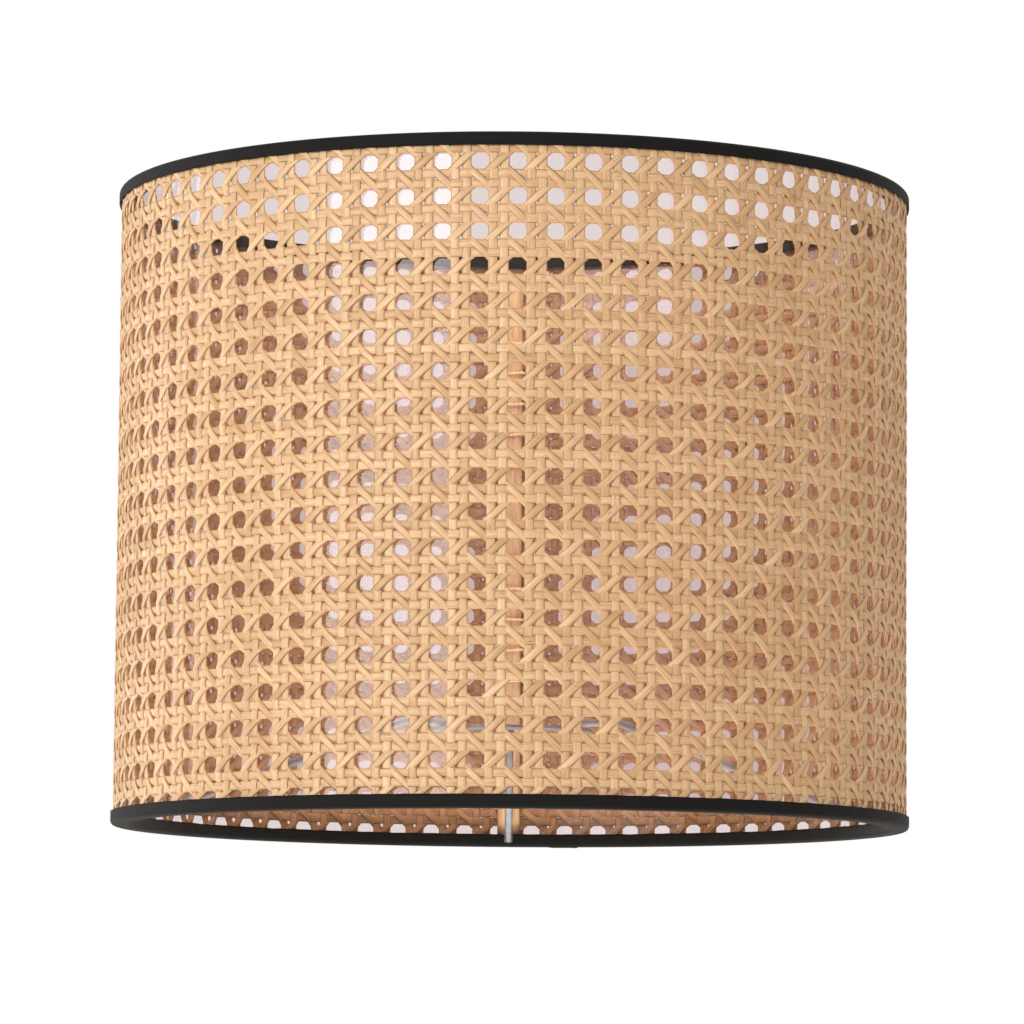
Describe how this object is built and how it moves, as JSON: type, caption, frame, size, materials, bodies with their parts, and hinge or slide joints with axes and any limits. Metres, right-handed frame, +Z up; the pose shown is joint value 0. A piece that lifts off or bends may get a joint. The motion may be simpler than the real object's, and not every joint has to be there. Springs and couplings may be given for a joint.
{
  "type": "lamp shade",
  "caption": "Cylindrical drum lamp shade of open cane webbing backed with clear film on wire hoops, with dark folded-tape rims and a recessed spider fitter for a screw-ring lampholder.",
  "frame": {"origin": "centre of the lampholder hole, at the fitter plate's underside", "axes": "+Z up along the drum's axis, towards the top rim; -Y the front; the webbing's seam at +Y"},
  "size_m": [0.3, 0.3, 0.24],
  "materials": {
    "cane": "natural honey-coloured split cane, satin",
    "film": "clear glossy plastic film, very slightly wavy",
    "batten": "bare split rattan, matte",
    "thread": "flat waxed linen thread",
    "rim_tape": "black twill cotton tape, faint sheen",
    "wire": "zinc-plated round wire",
    "plate": "zinc-plated stamped sheet"
  },
  "bodies": {
    "root": {"cane_webbing": "cane", "clear_film": "film", "seam_strip_outer": "cane", "seam_batten_inner": "batten", "seam_stitches": "thread", "top_rim_tape": "rim_tape", "bottom_rim_tape": "rim_tape", "top_hoop": "wire", "bottom_hoop": "wire", "spider_arm_back": "wire", "spider_arm_front_left": "wire", "spider_arm_front_right": "wire", "fitter_plate": "plate"}
  },
  "joints": []
}
